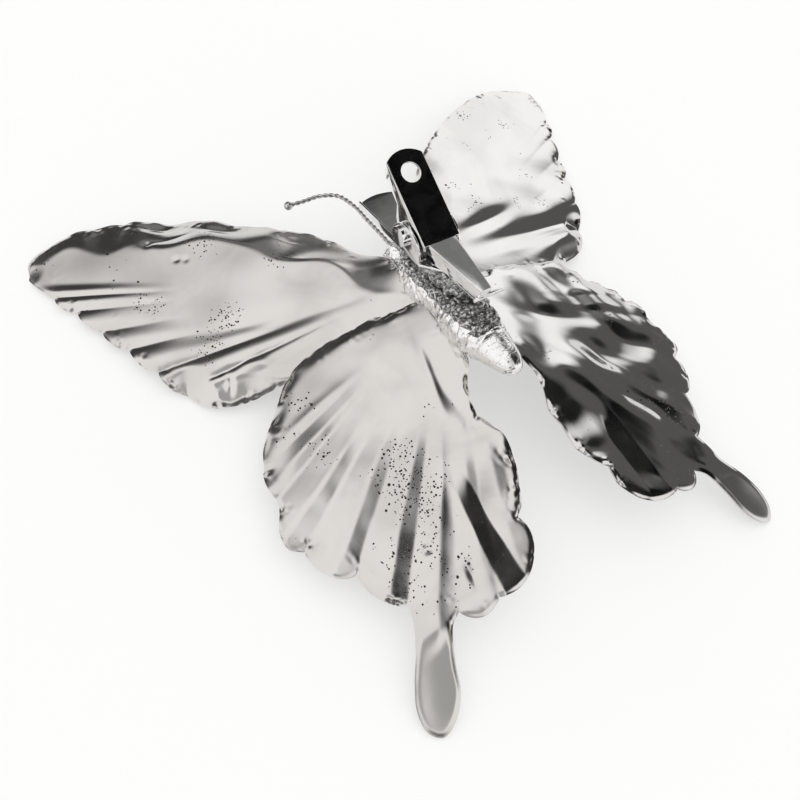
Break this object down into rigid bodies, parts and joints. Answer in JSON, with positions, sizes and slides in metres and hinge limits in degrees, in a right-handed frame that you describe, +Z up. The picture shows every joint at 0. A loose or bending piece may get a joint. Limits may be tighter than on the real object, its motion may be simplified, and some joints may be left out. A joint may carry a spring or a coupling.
{
  "type": "alligator hair clip",
  "caption": "Silver butterfly hair ornament of pleated sheet-metal wings on a cast body, with a sprung alligator clip soldered to its underside.",
  "frame": {"origin": "on the surface it lies on, under the middle of its outline", "axes": "+Z up on the clip side, +Y towards the head and antennae, +X towards the wing tip"},
  "size_m": [0.122, 0.1124, 0.0334],
  "materials": {
    "wing_sheet": "mirror-polished pressed sheet with pits and folds",
    "cast_body": "plated rough casting",
    "solder": "dull granular solder",
    "wire": "plated twisted wire",
    "clip_steel": "bright nickel plating",
    "spring_steel": "drawn spring wire"
  },
  "bodies": {
    "ornament": {"body_casting": "cast_body", "underside_backing": "cast_body", "solder_bed": "solder", "forewing_left": "wing_sheet", "forewing_right": "wing_sheet", "hindwing_left": "wing_sheet", "hindwing_right": "wing_sheet", "antenna_left": "wire", "antenna_right": "wire", "clip_base": "clip_steel", "clip_spring": "spring_steel"},
    "lever": {"clip_lever": "clip_steel"}
  },
  "joints": [
    {"name": "lever_hinge", "type": "hinge", "parent": "ornament", "child": "lever", "pos_m": [0, 0.01458, 0.02428], "axis": [-1, 0, 0], "range_deg": [0, 35], "stiffness_Nm_per_rad": 0.01, "springref_deg": -57.3, "deforming": ["clip_spring"]}
  ]
}
